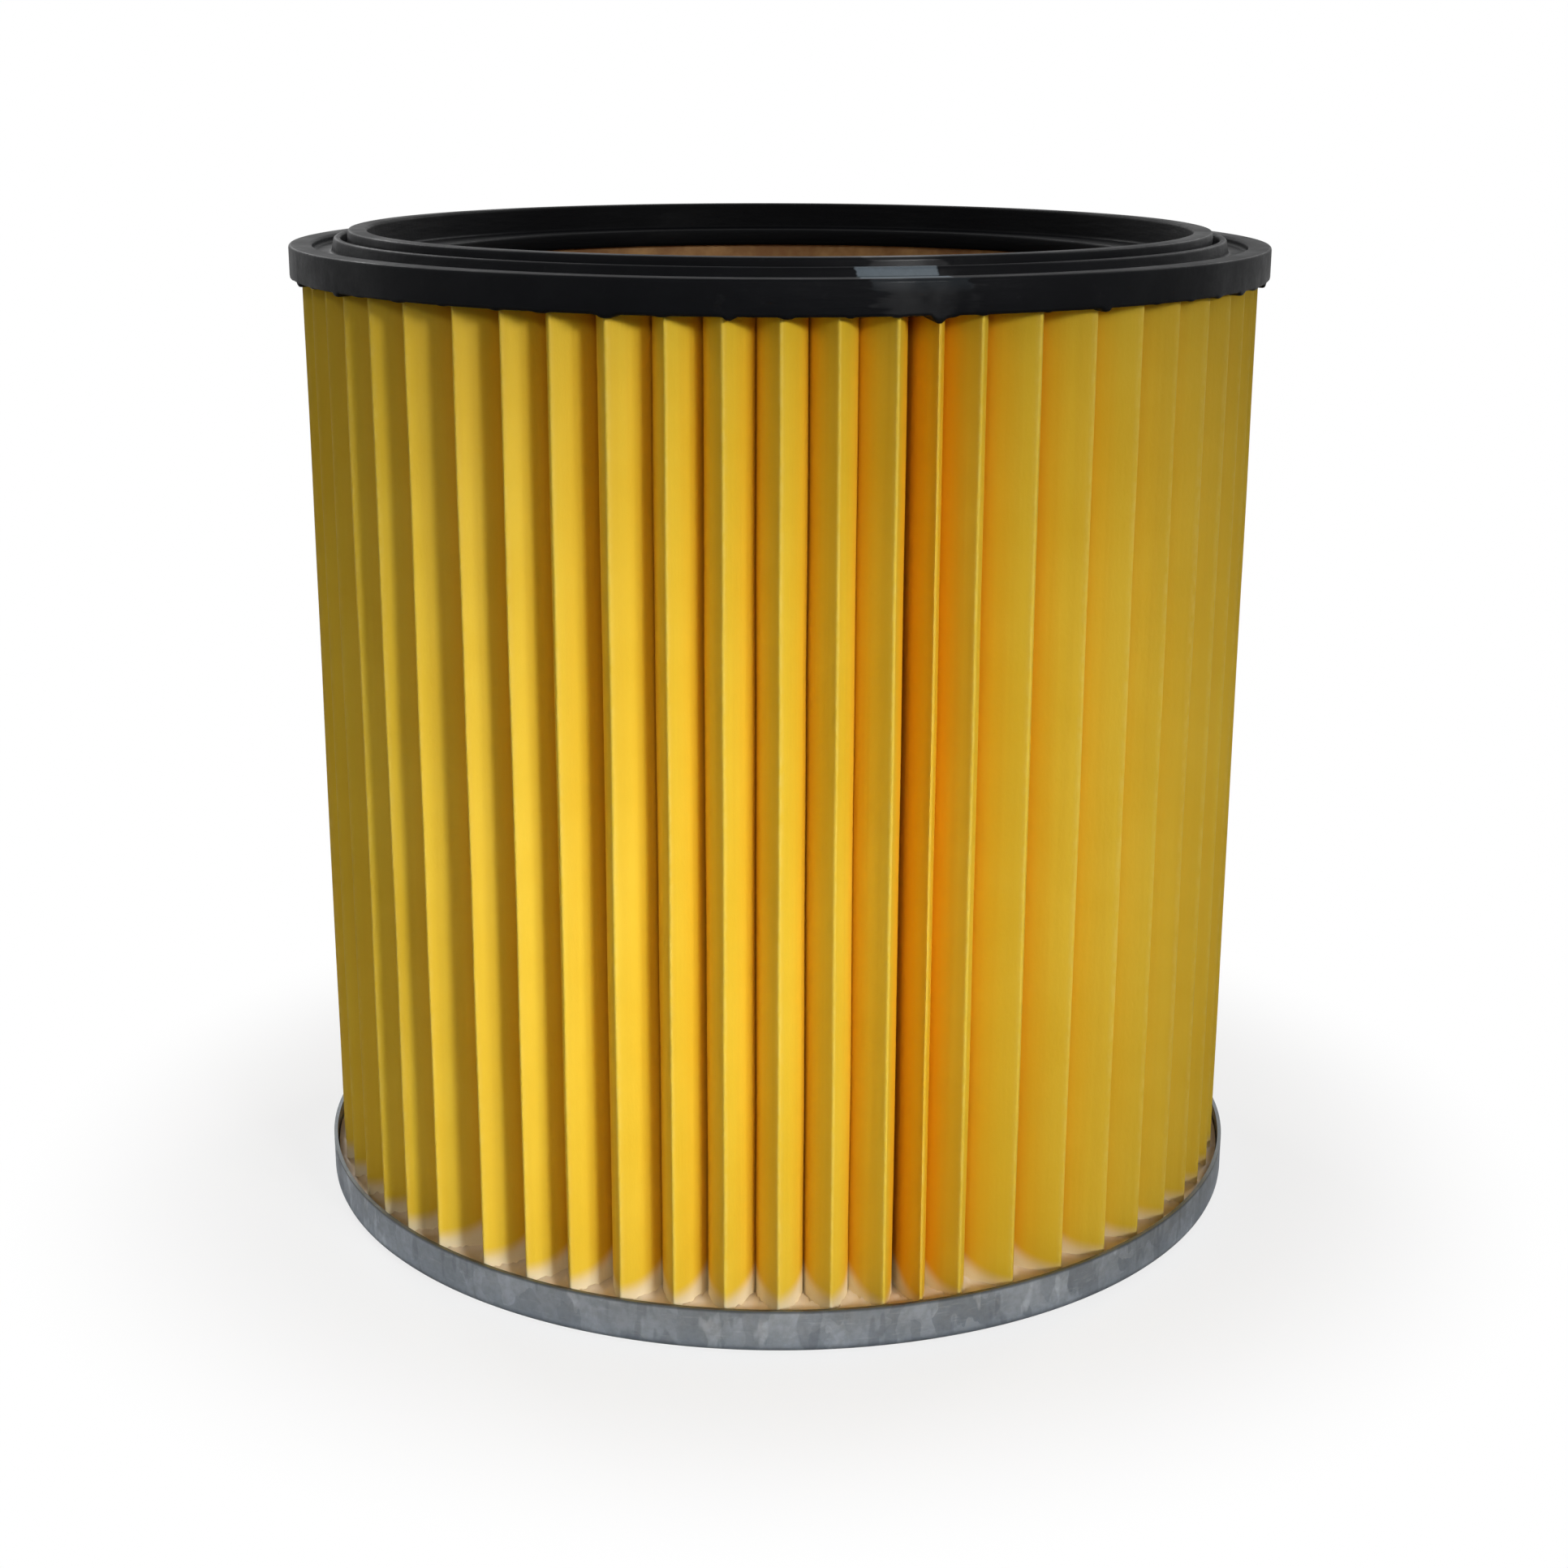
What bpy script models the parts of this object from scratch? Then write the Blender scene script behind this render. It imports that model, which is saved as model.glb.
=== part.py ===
"""Pleated filter cartridge of a workshop dust collector.

A yellow sheet, folded to and fro, stands round an expanded steel core. Its lower end is potted in a
pressed steel cap and its upper end is cast into a black sealing ring.

Metres, +Z up. The origin is the centre of the cap's underside and +Z is the cartridge's axis.
"""

import math

import bmesh
import bpy
from mathutils import Vector

# Overall
HEIGHT = 0.188  # cap underside to the top of the collar
PLEAT_RADIUS = 0.090  # over the outer folds
SEGMENTS = 48  # sides of every turned piece
CLEARANCE = 0.0003  # between pieces that touch on the real cartridge

# Sealing ring, from its outer edge inwards
RING_OVERHANG = 0.002  # beyond the folds
FLANGE_THICKNESS = 0.0059
FLANGE_WIDTH = 0.0043  # flat outer band
MOAT_WIDTH = 0.0035  # groove inside the flat band
MOAT_DEPTH = 0.0015
RIB_WIDTH = 0.0022  # thin pointed sealing rib
RIB_RISE = 0.0012  # above the flange
RIB_GROOVE = 0.0008  # between rib and collar
COLLAR_WIDTH = 0.0036
COLLAR_RISE = 0.0025  # above the flange
LEDGE_THICKNESS = 0.0033  # web between the collar and the bore
BORE_WALL = 0.0014  # ring wall inside the core
RING_EDGE = 0.0005  # small chamfer on the ring's edges

# Folded sheet
PLEAT_DEPTH = 0.0167
SHEET_THICKNESS = 0.0006
PLEAT_COUNT = 60
FOLD_OPENING = 0.0003  # left free inside a fold's flat tip, beside the casting
SEAM_AZIMUTH = 16.4  # degrees, from the front towards +X
SEAM_SHORTFALL = 0.003  # the overlapped end stops this far below the fold
# Where the folds stand closer or wider than even: fold number from the seam, spread in folds, share
SPACING_DRIFT = ((0.0, 0.7, -0.52), (2.6, 2.6, 0.20), (-9.5, 0.9, 0.30), (-6.0, 0.5, 0.17))

# Seam glue
GLUE_THICKNESS = 0.0004
GLUE_WIDTH = 0.010
GLUE_END_MARGIN = 0.001  # from each end of the sheet

# Core
CORE_WALL = 0.0008
CORE_STRAND = 0.0032
CORE_COLUMNS = 24  # diamonds round the tube
CORE_ROWS = 4
CORE_BAND = 0.009  # plain band at each end

# Cap and potting
CAP_HEIGHT = 0.0082
CAP_SHEET = 0.0007
CAP_GAP = 0.0012  # from the outer folds to the cap's wall
CAP_CORNER = 0.0018
CORNER_STEPS = 4
PANEL_RADIUS = 0.058  # raised middle of the cap
PANEL_RISE = 0.0025
POTTING_BELOW_RIM = 0.0008

# How deep the pieces are held
RING_GRIP = 0.0020  # sheet in the ring
CORE_RING_GRIP = 0.0015
POTTING_GRIP = 0.0040  # sheet in the potting
CORE_POTTING_GRIP = 0.0034

# Levels and radii that follow from the sizes above
RING_RADIUS = PLEAT_RADIUS + RING_OVERHANG
FLANGE_TOP = HEIGHT - COLLAR_RISE
RING_BOTTOM = FLANGE_TOP - FLANGE_THICKNESS
LEDGE_TOP = RING_BOTTOM + LEDGE_THICKNESS
POTTING_TOP = CAP_HEIGHT - POTTING_BELOW_RIM
SHEET_TOP = RING_BOTTOM + RING_GRIP
SHEET_BOTTOM = POTTING_TOP - POTTING_GRIP
CORE_TOP = RING_BOTTOM + CORE_RING_GRIP
CORE_BOTTOM = POTTING_TOP - CORE_POTTING_GRIP
FOLD_WIDTH = SHEET_THICKNESS + 2 * CLEARANCE + FOLD_OPENING  # flat tip
FOLD_OUTER = PLEAT_RADIUS - SHEET_THICKNESS / 2  # middle of the sheet
FOLD_INNER = PLEAT_RADIUS - PLEAT_DEPTH + SHEET_THICKNESS / 2
CORE_OUTER = PLEAT_RADIUS - PLEAT_DEPTH - CLEARANCE
CORE_INNER = CORE_OUTER - CORE_WALL
BORE_RADIUS = CORE_INNER - CLEARANCE - BORE_WALL
CAP_RADIUS = PLEAT_RADIUS + CAP_GAP + CAP_SHEET


def clear_scene():
    for obj in list(bpy.data.objects):
        bpy.data.objects.remove(obj, do_unlink=True)


def collection(name):
    made = bpy.data.collections.new(name)
    bpy.context.scene.collection.children.link(made)
    return made


def material(name, colour, roughness, metallic=0.0):
    made = bpy.data.materials.new(name)
    made.use_nodes = True
    shader = made.node_tree.nodes["Principled BSDF"]
    shader.inputs["Base Color"].default_value = (*colour, 1.0)
    shader.inputs["Roughness"].default_value = roughness
    shader.inputs["Metallic"].default_value = metallic
    return made


def add_object(name, mesh, group):
    obj = bpy.data.objects.new(name, mesh)
    group.objects.link(obj)
    return obj


def settle(obj, finish):
    """Keep the modelled shape as the object's own mesh, shade it and give it its material."""
    shaped = obj.evaluated_get(bpy.context.evaluated_depsgraph_get())
    obj.data = bpy.data.meshes.new_from_object(shaped)
    obj.data.name = obj.name
    obj.modifiers.clear()
    obj.data.shade_smooth()
    obj.data.set_sharp_from_angle(angle=math.radians(28))
    obj.data.materials.clear()
    obj.data.materials.append(finish)


def turned(name, profile, closed, group):
    """Revolve a profile of (radius, height) pairs, which runs down its outer side, about Z."""
    shape = bmesh.new()
    points = [shape.verts.new((radius, 0, height)) for radius, height in profile]
    for start, end in zip(points, points[1:]):
        shape.edges.new((start, end))
    if closed:
        shape.edges.new((points[-1], points[0]))
    mesh = bpy.data.meshes.new(name)
    shape.to_mesh(mesh)
    shape.free()
    obj = add_object(name, mesh, group)
    screw = obj.modifiers.new("Turn", "SCREW")
    screw.steps = SEGMENTS
    screw.render_steps = SEGMENTS
    screw.use_merge_vertices = True
    screw.merge_threshold = 0.00001
    return obj


def thicken(obj, thickness, offset):
    shell = obj.modifiers.new("Wall", "SOLIDIFY")
    shell.thickness = thickness
    shell.offset = offset
    shell.use_even_offset = True


def cut(obj, cutter):
    difference = obj.modifiers.new("Cut", "BOOLEAN")
    difference.operation = "DIFFERENCE"
    difference.solver = "EXACT"
    difference.object = cutter


def polar(radius, degrees):
    """Point at a radius and an azimuth, counted from the front (-Y) towards +X."""
    angle = math.radians(degrees)
    return Vector((radius * math.sin(angle), -radius * math.cos(angle)))


def outer_fold_azimuths():
    """Azimuth of every outer fold, from the seam onwards."""
    half = PLEAT_COUNT // 2
    gaps = []
    for number in range(PLEAT_COUNT):
        place = (number + half) % PLEAT_COUNT - half + 0.5
        drift = sum(share * math.exp(-(((place - middle) / spread) ** 2))
                    for middle, spread, share in SPACING_DRIFT)
        gaps.append(1 + drift)
    even = 360 / sum(gaps)
    return [SEAM_AZIMUTH + even * sum(gaps[:number]) for number in range(PLEAT_COUNT)]


def fold(radius, degrees):
    """The two corners of one fold's flat tip."""
    half_width = math.degrees(FOLD_WIDTH / 2 / radius)
    return [polar(radius, degrees - half_width), polar(radius, degrees + half_width)]


def seam_line():
    """Start, end, direction and side normal of the first face, which the sheet's other end overlaps."""
    folds = outer_fold_azimuths()
    valley = (folds[0] + folds[-1] - 360) / 2
    start = polar(FOLD_INNER, valley + math.degrees(FOLD_WIDTH / FOLD_INNER))
    end = fold(FOLD_OUTER, folds[0])[0]
    along = (end - start).normalized()
    return start, end, along, Vector((along.y, -along.x))


def sheet_path(grow):
    """The folded sheet seen from above, from one end of the sheet to the other, each end longer by grow."""
    folds = outer_fold_azimuths()
    start, end, along, aside = seam_line()
    step = SHEET_THICKNESS + GLUE_THICKNESS + 2 * CLEARANCE
    path = [start - along * grow]
    for here, after in zip(folds, folds[1:]):
        path += fold(FOLD_OUTER, here)
        path += fold(FOLD_INNER, (here + after) / 2)
    path += fold(FOLD_OUTER, folds[-1])
    turn = start + aside * step
    path.append(turn + aside * FOLD_WIDTH)
    path.append(turn)
    path.append(end + aside * step - along * (SEAM_SHORTFALL - grow))
    return path


def upright(name, path, bottom, top, group):
    """A wall that stands on a path."""
    shape = bmesh.new()
    foot = [shape.verts.new((point.x, point.y, bottom)) for point in path]
    for start, end in zip(foot, foot[1:]):
        shape.edges.new((start, end))
    raised = bmesh.ops.extrude_edge_only(shape, edges=shape.edges[:])["geom"]
    lifted = [item for item in raised if isinstance(item, bmesh.types.BMVert)]
    bmesh.ops.translate(shape, verts=lifted, vec=(0, 0, top - bottom))
    mesh = bpy.data.meshes.new(name)
    shape.to_mesh(mesh)
    shape.free()
    return add_object(name, mesh, group)


def folded_sheet(name, grow, group):
    """The folded sheet, or the room it needs when grow is a clearance."""
    obj = upright(name, sheet_path(grow), SHEET_BOTTOM - grow, SHEET_TOP + grow, group)
    thicken(obj, SHEET_THICKNESS + 2 * grow, 0)
    return obj


def glue_strip(name, grow, group):
    """The glue between the sheet's two overlapped ends, or the room it needs."""
    start, end, along, aside = seam_line()
    middle = (start + end) / 2 + aside * (SHEET_THICKNESS + GLUE_THICKNESS + 2 * CLEARANCE) / 2
    reach = along * (GLUE_WIDTH / 2 + grow)
    margin = GLUE_END_MARGIN - grow
    path = [middle - reach, middle + reach]
    obj = upright(name, path, SHEET_BOTTOM + margin, SHEET_TOP - margin, group)
    thicken(obj, GLUE_THICKNESS + 2 * grow, 0)
    return obj


def hide_cutters(cutters):
    for obj in cutters.objects:
        obj.hide_render = True
        obj.display_type = "WIRE"


def channel(bottom, depth):
    """Groove in a ring's flat face that takes the end of the core; depth is negative downwards."""
    inner = CORE_INNER - CLEARANCE
    outer = CORE_OUTER + CLEARANCE
    return [(outer, bottom), (outer, bottom + depth), (inner, bottom + depth), (inner, bottom)]


def ring_profile():
    flange_inner = RING_RADIUS - FLANGE_WIDTH
    rib_outer = flange_inner - MOAT_WIDTH
    rib_inner = rib_outer - RIB_WIDTH
    collar_outer = rib_inner - RIB_GROOVE
    collar_inner = collar_outer - COLLAR_WIDTH
    moat = FLANGE_TOP - MOAT_DEPTH
    outside = [
        (flange_inner, FLANGE_TOP),
        (RING_RADIUS - RING_EDGE, FLANGE_TOP),
        (RING_RADIUS, FLANGE_TOP - RING_EDGE),
        (RING_RADIUS, RING_BOTTOM + RING_EDGE),
        (RING_RADIUS - RING_EDGE, RING_BOTTOM),
    ]
    inside = [
        (BORE_RADIUS, RING_BOTTOM),
        (BORE_RADIUS, LEDGE_TOP),
        (collar_inner, LEDGE_TOP),
        (collar_inner, HEIGHT - RING_EDGE),
        (collar_inner + RING_EDGE, HEIGHT),
    ]
    top = [
        (collar_outer - RING_EDGE, HEIGHT),
        (collar_outer, HEIGHT - RING_EDGE),
        (collar_outer, moat),
        (rib_inner, moat),
        ((rib_inner + rib_outer) / 2, FLANGE_TOP + RIB_RISE),
        (rib_outer, moat),
        (flange_inner, moat),
    ]
    return outside + channel(RING_BOTTOM, CORE_RING_GRIP + CLEARANCE) + inside + top


def potting_profile():
    outer = CAP_RADIUS - CAP_SHEET - CLEARANCE
    inner = PANEL_RADIUS + PANEL_RISE + CLEARANCE
    bottom = CAP_SHEET + CLEARANCE
    rounded = CAP_CORNER - CAP_SHEET + CLEARANCE
    groove = channel(POTTING_TOP, -(CORE_POTTING_GRIP + CLEARANCE))
    return [
        (outer, POTTING_TOP),
        (outer, bottom + rounded),
        (outer - rounded, bottom),
        (inner, bottom),
        (inner, POTTING_TOP),
        *reversed(groove),
    ]


def cap_profile():
    """The cap's outside, from the rim down the wall and in to the middle of its underside."""
    middle = Vector((CAP_RADIUS - CAP_CORNER, CAP_CORNER))
    corner = []
    for step in range(CORNER_STEPS + 1):
        angle = math.radians(90 * step / CORNER_STEPS)
        corner.append((middle.x + CAP_CORNER * math.cos(angle), middle.y - CAP_CORNER * math.sin(angle)))
    panel = [(PANEL_RADIUS + PANEL_RISE, 0), (PANEL_RADIUS, PANEL_RISE), (0, PANEL_RISE)]
    return [(CAP_RADIUS, CAP_HEIGHT), *corner, *panel]


def seal_ring(parts, sheet_room, glue_room):
    ring = turned("top_seal_ring", ring_profile(), True, parts)
    cut(ring, sheet_room)
    cut(ring, glue_room)
    return ring


def potting(parts, sheet_room, glue_room):
    ring = turned("bottom_potting", potting_profile(), True, parts)
    cut(ring, sheet_room)
    cut(ring, glue_room)
    return ring


def cap(parts):
    pan = turned("bottom_cap", cap_profile(), False, parts)
    thicken(pan, CAP_SHEET, -1)
    return pan


def core(parts):
    """Expanded metal tube, cut as a flat lattice of diamonds with plain ends, then rolled and welded."""
    width = math.tau * CORE_OUTER
    length = CORE_TOP - CORE_BOTTOM
    lattice = length / 2 - CORE_BAND
    shape = bmesh.new()
    bmesh.ops.create_grid(shape, x_segments=CORE_COLUMNS, y_segments=CORE_ROWS, size=1)
    bmesh.ops.scale(shape, vec=(width / 2, lattice, 1), verts=shape.verts[:])
    bmesh.ops.poke(shape, faces=shape.faces[:])
    # Without the edges that run along or across the tube, the poked cells are diamonds.
    straight = []
    for edge in shape.edges:
        run = edge.verts[1].co - edge.verts[0].co
        if not edge.is_boundary and min(abs(run.x), abs(run.y)) < CLEARANCE:
            straight.append(edge)
    bmesh.ops.dissolve_edges(shape, edges=straight, use_verts=False)
    diamonds = [face for face in shape.faces if len(face.verts) == 4]
    bmesh.ops.inset_individual(shape, faces=diamonds, thickness=CORE_STRAND / 2, use_even_offset=True)
    bmesh.ops.delete(shape, geom=diamonds, context="FACES")
    for end in (-1, 1):
        rim = [edge for edge in shape.edges
               if all(abs(vert.co.y - end * lattice) < CLEARANCE for vert in edge.verts)]
        bmesh.ops.subdivide_edges(shape, edges=rim, cuts=1)
        rim = [edge for edge in shape.edges
               if all(abs(vert.co.y - end * lattice) < CLEARANCE for vert in edge.verts)]
        band = bmesh.ops.extrude_edge_only(shape, edges=rim)["geom"]
        outer = [item for item in band if isinstance(item, bmesh.types.BMVert)]
        bmesh.ops.translate(shape, verts=outer, vec=(0, end * CORE_BAND, 0))
    for vert in shape.verts:
        place = polar(CORE_OUTER, 360 * vert.co.x / width)
        vert.co = (place.x, place.y, CORE_BOTTOM + length / 2 + vert.co.y)
    bmesh.ops.remove_doubles(shape, verts=shape.verts[:], dist=0.00001)
    mesh = bpy.data.meshes.new("support_core")
    shape.to_mesh(mesh)
    shape.free()
    tube = add_object("support_core", mesh, parts)
    thicken(tube, CORE_WALL, -1)
    return tube


def build():
    clear_scene()
    parts = collection("dust_filter_cartridge")
    cutters = collection("cutters")
    rubber = material("black_cast_rubber", (0.015, 0.016, 0.018), 0.5)
    paper = material("yellow_filter_paper", (0.80, 0.50, 0.05), 0.85)
    glue = material("amber_seam_glue", (0.70, 0.33, 0.02), 0.4)
    resin = material("cream_potting_resin", (0.80, 0.72, 0.55), 0.55)
    core_steel = material("dull_core_steel", (0.35, 0.28, 0.20), 0.5, 1.0)
    cap_steel = material("galvanised_cap_steel", (0.42, 0.46, 0.50), 0.45, 0.9)

    sheet_room = folded_sheet("sheet_room", CLEARANCE, cutters)
    glue_room = glue_strip("glue_room", CLEARANCE, cutters)
    hide_cutters(cutters)
    settle(seal_ring(parts, sheet_room, glue_room), rubber)
    settle(folded_sheet("pleated_media", 0, parts), paper)
    settle(glue_strip("media_seam_glue", 0, parts), glue)
    settle(core(parts), core_steel)
    settle(potting(parts, sheet_room, glue_room), resin)
    settle(cap(parts), cap_steel)


build()
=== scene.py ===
"""Looks of a pleated dust filter cartridge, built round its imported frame.

The folded sheet, the expanded steel core, the cast ring, the resin and the pressed cap are modelled here
at full detail, each in the place that its solid holds in the frame. Metres, +Z up, front towards -Y.
"""

import math

import bmesh
import bpy
import numpy as np
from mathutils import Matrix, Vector


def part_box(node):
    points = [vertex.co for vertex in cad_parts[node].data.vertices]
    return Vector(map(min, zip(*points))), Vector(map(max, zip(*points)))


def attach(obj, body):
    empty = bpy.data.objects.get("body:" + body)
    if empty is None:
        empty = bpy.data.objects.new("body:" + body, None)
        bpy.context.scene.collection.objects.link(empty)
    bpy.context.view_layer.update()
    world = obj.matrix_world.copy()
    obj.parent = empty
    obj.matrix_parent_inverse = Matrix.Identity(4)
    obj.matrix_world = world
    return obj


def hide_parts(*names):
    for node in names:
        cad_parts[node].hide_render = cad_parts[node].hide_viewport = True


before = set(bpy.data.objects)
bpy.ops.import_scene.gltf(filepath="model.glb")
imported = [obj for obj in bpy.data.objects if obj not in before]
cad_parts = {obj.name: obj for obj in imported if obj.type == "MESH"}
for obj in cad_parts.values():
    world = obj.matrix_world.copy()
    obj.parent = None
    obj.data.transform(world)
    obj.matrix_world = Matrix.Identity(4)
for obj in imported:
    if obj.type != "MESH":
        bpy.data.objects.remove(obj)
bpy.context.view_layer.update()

SEED = 7
MM = 0.001
SAME_PLACE = 0.001 * MM

# Where the frame's solids lie
RING_LOW, RING_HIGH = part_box("top_seal_ring")
SHEET_LOW, SHEET_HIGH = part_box("pleated_media")
CORE_LOW, CORE_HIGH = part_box("support_core")
POTTING_LOW, POTTING_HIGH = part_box("bottom_potting")
CAP_LOW, CAP_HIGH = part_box("bottom_cap")

# Folds: the same rule as the solid's
FOLDS = 60
SEAM_AZIMUTH = 16.4  # degrees, from the front towards +X
SPACING_DRIFT = ((0.0, 0.7, -0.52), (2.6, 2.6, 0.20), (-9.5, 0.9, 0.30), (-6.0, 0.5, 0.17))
SHEET_THICKNESS = 0.5 * MM
FOLD_OUTER = SHEET_HIGH.x - SHEET_THICKNESS / 2
FOLD_INNER = CORE_HIGH.x + 0.3 * MM + SHEET_THICKNESS / 2

# How a fold's faces belly out below the crest, until they nearly meet the next fold's at the waist
BELLY_SHARES = (0.0, 0.06, 0.14, 0.24, 0.36, 0.48, 0.60, 0.72, 0.83, 0.93, 1.0)
BELLY_POWER = (1.2, 1.5)
BELLY_DEPTH = (7.6 * MM, 9.0 * MM)
WAIST_HALF = 0.28 * MM
FOOT_HALF = 0.7 * MM
FOOT_SHARES = (0.35, 0.7, 1.0)
ARC_STEPS = 4
NOSE_SHARES = (0.35, 0.12)
NOSE_CUT = 0.0012
NOSE_REACH = 0.5 * MM
VALLEY_DRIFT = 0.25  # degrees
CREST_DRIFT = 0.2 * MM
SHEET_ROWS = 22
SHEET_WANDER = 0.22 * MM

# Seam
SEAM_STEP = 1.1 * MM  # middle of one layer to the middle of the other
SEAM_SHORTFALL = 3 * MM  # the flap's free edge stops this far inside the crest
SEAM_LEAN = 0.3  # degrees
SEAM_POWER = 1.6
BEAD_SHORTFALL = 4 * MM  # from the core

# Ring
RING_RADIUS = RING_HIGH.x
RING_BOTTOM = RING_LOW.z
RING_TOP = RING_HIGH.z
FLANGE_TOP = RING_TOP - 2.5 * MM
FLANGE_EDGE = RING_RADIUS - 4.3 * MM
MOAT_FLOOR = FLANGE_TOP - 1.5 * MM
RIB_OUTER = FLANGE_EDGE - 3.5 * MM
RIB_INNER = RIB_OUTER - 2.2 * MM
RIB_TOP = FLANGE_TOP + 1.2 * MM
RIB_SLOPE = 0.5 * MM
COLLAR_OUTER = RIB_INNER - 0.8 * MM
COLLAR_INNER = COLLAR_OUTER - 3.6 * MM
LEDGE_TOP = RING_BOTTOM + 3.3 * MM
BORE_RADIUS = CORE_HIGH.x - 2.5 * MM
RING_EDGE = 0.6 * MM
RING_COLUMNS = 960

# Casting that ran a little way down the crests, and the tab beside the seam
RUN_HANGS = (0.12, 0.2, 0.35, 0.6)  # mm
RUN_WIDTHS = (0.35, 1.0)  # degrees
RUN_OFFSET = 0.9  # degrees
RUN_HEIGHT = 1.6 * MM  # part of the ring's edge that they hang from
RUN_DEPTH = 3.5 * MM  # inwards from that edge
TAB_AZIMUTH = 15.9
TAB_WIDTH = 0.6  # degrees
TAB_HANG = 1.2 * MM

# Dried casting residue on the ring, from and to these azimuths; the smear's pale grey is also a painted
# highlight
SMEAR_AND_HIGHLIGHT = (8.2, 17.2)
FILM = (9.4, 18.8)
TRAIL = (10.5, 18.5)

# Cap
CAP_SHEET = 0.7 * MM
CAP_CORNER = 1.8 * MM
CAP_CORNER_INSIDE = 1.1 * MM
PANEL_RADIUS = 58 * MM
PANEL_RISE = 2.5 * MM
PANEL_CORNER = 1.2 * MM
CAP_COLUMNS = 360

# Resin
RESIN_INNER = 61 * MM
RESIN_CHAMFER = 1.5 * MM
RESIN_STEPS = 22
RESIN_DIP = 1.6 * MM  # level below the solid's top
RESIN_CLIMB = 1.3 * MM  # up the sheet's faces
RESIN_CLIMB_REACH = 0.7 * MM

# Core: expanded steel
CORE_SETBACK = 0.4 * MM  # middle of the mesh inside the solid's outside
CORE_COLUMNS = 46
CORE_ROWS = 32
CORE_BAND = 5 * MM
CORE_OPENING = 0.73
CORE_LEAN = 0.12
CORE_SHEET = 0.6 * MM
HOOP_SIDES = 180
HOOP_OVERLAP = 1.3

# Paints, as linear colours
PAPER_YELLOWS = (0.84, 0.555, 0.024), (0.88, 0.600, 0.036)
PAPER_STREAK = (0.76, 0.44, 0.014)
PAPER_DEPTH_SHADE = (0.80, 0.40, 0.003)
PAPER_SEAM = (0.93, 0.50, 0.003)
PAPER_CREST_HIGHLIGHT = (0.92, 0.72, 0.18)
PAPER_SOAKED = (0.90, 0.77, 0.52)
RUBBER_BLACKS = (0.0030, 0.0033, 0.0042), (0.0055, 0.0061, 0.0074)
RUBBER_DUST = (0.018, 0.019, 0.020)
RUBBER_BORE_SHADE = (0.0012, 0.0013, 0.0016)
RESIDUE_HIGHLIGHT_GREY = (0.21, 0.26, 0.30)
RESIDUE_FILM = (0.026, 0.031, 0.036)
ZINC_GREYS = (0.35, 0.395, 0.455), (0.50, 0.55, 0.615)
ZINC_CLOUD = (0.26, 0.295, 0.33)
ZINC_BRIGHT_WIPE = (0.74, 0.80, 0.86)
ZINC_DARK_WIPE = (0.19, 0.215, 0.25)
ZINC_SCUFF = (0.66, 0.71, 0.75)
ZINC_SPECK = (0.22, 0.25, 0.27)
ZINC_DARK_FOOT_AND_RIM_SHADE = (0.10, 0.11, 0.11)
RESIN_CREAMS = (0.78, 0.62, 0.42), (0.88, 0.76, 0.58)
RESIN_EDGE_SHADE = (0.34, 0.24, 0.13)
GLUE_AMBERS = (0.62, 0.24, 0.008), (0.80, 0.38, 0.02)
CORE_BROWNS = (0.50, 0.28, 0.10), (0.28, 0.13, 0.04)
FLOOR_GREY = (0.72, 0.72, 0.72, 1)
WHITE = (1, 1, 1, 1)

# Studio
FLOOR_REACH = 3
FLOOR_DROP = 0.1 * MM  # keeps the floor off the cap's flat underside
SHADOW_RADII = (0.095, 0.16)
SHADOW_WHITE = 0.80
MIRRORED_RADII = (0.25, 0.60)
WORLD_LEVEL = 0.05  # light that reaches the cartridge from all round
CAMERA_PLACE = (0, -0.4812, 0.2173)
CAMERA_DIP = 16.2  # degrees below level
CAMERA_ROLL = -0.16
CAMERA_LENS = 56.8
CAMERA_SHIFT = 0.0022
LAMP_DISTANCE = 1.2
LAMPS = (
    # name, azimuth, elevation, size, watts, (aim to the left, height), spread
    ("key", 33, 18, 0.20, 0.093, (0.086, 0.055), 16),
    ("second", 44, 18, 0.20, 0.049, (0.086, 0.055), 16),
    ("front", 2, 20, 0.20, 0.026, (0.036, 0.055), 17),
    ("left", -46, 20, 0.20, 0.008, (-0.045, 0.070), 17),
    ("far_left", -72, 28, 0.50, 0.34, (0.0, RING_TOP / 2), 180),
    ("back", 212, 30, 0.30, 0.130, (0.0, 0.080), 24),
    ("back_right", 140, 30, 0.30, 0.115, (0.0, 0.080), 24))


# ---------------------------------------------------------------- node trees

class Wire:
    """A node's output socket, on which Python's operators add Math nodes."""

    def __init__(self, web, socket):
        self.web = web
        self.socket = socket

    def __add__(self, other):
        return self.web.sum_up("ADD", self, other)

    def __sub__(self, other):
        return self.web.sum_up("SUBTRACT", self, other)

    def __rsub__(self, other):
        return self.web.sum_up("SUBTRACT", other, self)

    def __mul__(self, other):
        return self.web.sum_up("MULTIPLY", self, other)

    def __truediv__(self, other):
        return self.web.sum_up("DIVIDE", self, other)

    def __rtruediv__(self, other):
        return self.web.sum_up("DIVIDE", other, self)

    def __pow__(self, other):
        return self.web.sum_up("POWER", self, other)

    def __gt__(self, other):
        return self.web.sum_up("GREATER_THAN", self, other)

    __radd__ = __add__
    __rmul__ = __mul__

    def also(self, name):
        """Another output of the same node."""
        return Wire(self.web, self.socket.node.outputs[name])


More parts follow.
